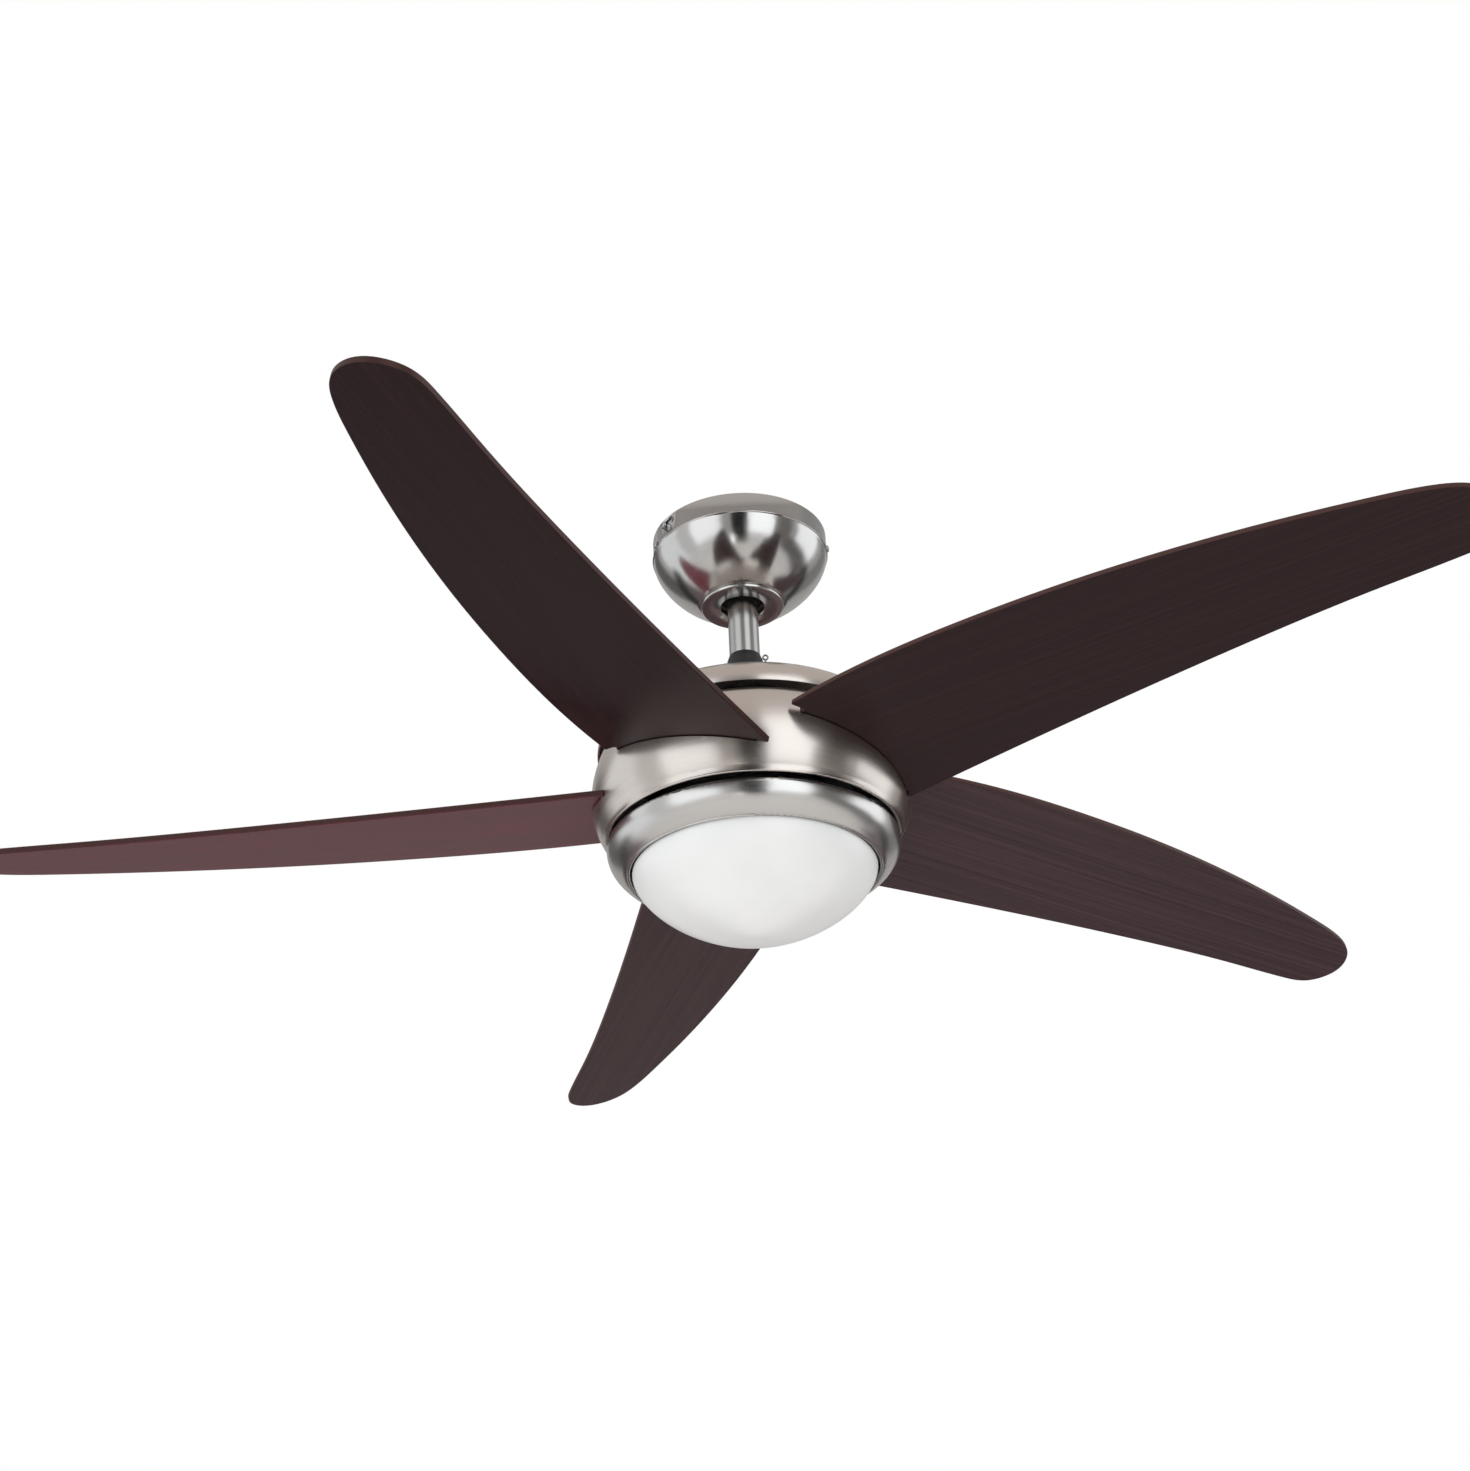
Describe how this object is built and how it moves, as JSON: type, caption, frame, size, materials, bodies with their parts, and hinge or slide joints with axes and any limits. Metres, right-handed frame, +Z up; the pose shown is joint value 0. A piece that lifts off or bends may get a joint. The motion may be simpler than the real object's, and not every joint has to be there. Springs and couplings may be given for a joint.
{
  "type": "ceiling fan with light",
  "caption": "Ceiling fan with a light: bowed dark wood blades turn on a brushed nickel motor housing that hangs on a short rod, with an opal glass shade below.",
  "frame": {"origin": "middle of the ceiling bracket's top face, where it lies on the ceiling", "axes": "+Z up along the rod, through the ceiling; +X along the two slots for the ceiling screws"},
  "size_m": [1.2109, 1.2582, 0.3798],
  "materials": {
    "brushed_nickel": "fine brushed, warm satin nickel",
    "polished_nickel": "brightly polished satin nickel",
    "blade_wood": "dark wenge veneer, satin lacquer",
    "black_steel": "matt black paint",
    "zinc_steel": "zinc plated",
    "bearing_steel": "ground and hardened",
    "opal_glass": "white opal glass, satin",
    "lamp_glass": "frosted white lamp glass",
    "white_steel": "gloss white paint",
    "ceramic_white": "glazed lamp holder body",
    "black_plastic": "moulded, fine texture",
    "white_plastic": "moulded",
    "nylon": "natural nylon",
    "copper_wire": "enamelled winding wire",
    "lamination_steel": "stacked electrical steel",
    "cast_alloy": "die cast, as cast",
    "pvc_sleeve": "soft sleeve over the leads"
  },
  "bodies": {
    "ceiling": {"ceiling_bracket": "zinc_steel", "canopy": "polished_nickel", "canopy_cover": "polished_nickel", "canopy_screws": "zinc_steel", "remote_receiver": "black_plastic", "terminal_block": "white_plastic"},
    "seat_ring": {"ball_seat_ring": "nylon"},
    "hanging": {"hanger_ball": "black_plastic", "ball_cross_pin": "zinc_steel", "ball_set_screw": "zinc_steel", "downrod": "polished_nickel", "yoke": "black_steel", "clevis_pin": "zinc_steel", "hitch_clip": "zinc_steel", "yoke_set_screw": "zinc_steel", "motor_shaft": "zinc_steel", "shaft_nuts": "zinc_steel", "motor_leads": "pvc_sleeve", "top_cap": "brushed_nickel", "top_cap_screws": "zinc_steel", "stator_core": "lamination_steel", "stator_windings": "copper_wire", "bearing_inner_rings": "bearing_steel", "light_neck": "black_steel", "ring_screws": "zinc_steel", "light_ring": "brushed_nickel", "lamp_pan": "white_steel", "lamp_holders": "ceramic_white", "lamps": "lamp_glass", "lamp_brackets": "zinc_steel", "run_capacitor": "black_plastic", "pan_screws": "zinc_steel"},
    "rotor": {"bearing_outer_rings": "bearing_steel", "bearing_balls": "bearing_steel", "rotor_ring": "lamination_steel", "motor_upper_bell": "cast_alloy", "motor_lower_bell": "cast_alloy", "bell_screws": "zinc_steel", "rotor_shell": "brushed_nickel", "shell_screws": "zinc_steel", "arm_screws": "zinc_steel", "blade_screws": "zinc_steel", "blade_1": "blade_wood", "blade_2": "blade_wood", "blade_3": "blade_wood", "blade_4": "blade_wood", "blade_5": "blade_wood", "blade_arm_1": "cast_alloy", "blade_arm_2": "cast_alloy", "blade_arm_3": "cast_alloy", "blade_arm_4": "cast_alloy", "blade_arm_5": "cast_alloy"},
    "shade": {"glass_shade": "opal_glass", "shade_collar": "zinc_steel"}
  },
  "joints": [
    {"name": "hanger_tilt_x", "type": "hinge", "parent": "ceiling", "child": "seat_ring", "pos_m": [0, 0, -0.0438], "axis": [1, 0, 0], "range_deg": [-6, 6]},
    {"name": "hanger_tilt_y", "type": "hinge", "parent": "seat_ring", "child": "hanging", "pos_m": [0, 0, -0.0438], "axis": [0, 1, 0], "range_deg": [-6, 6]},
    {"name": "fan_spin", "type": "hinge", "parent": "hanging", "child": "rotor", "pos_m": [0, 0, -0.2518], "axis": [0, 0, -1], "continuous": true},
    {"name": "shade_twist", "type": "hinge", "parent": "hanging", "child": "shade", "pos_m": [0, 0, -0.3218], "axis": [0, 0, -1], "range_deg": [0, 18]}
  ]
}
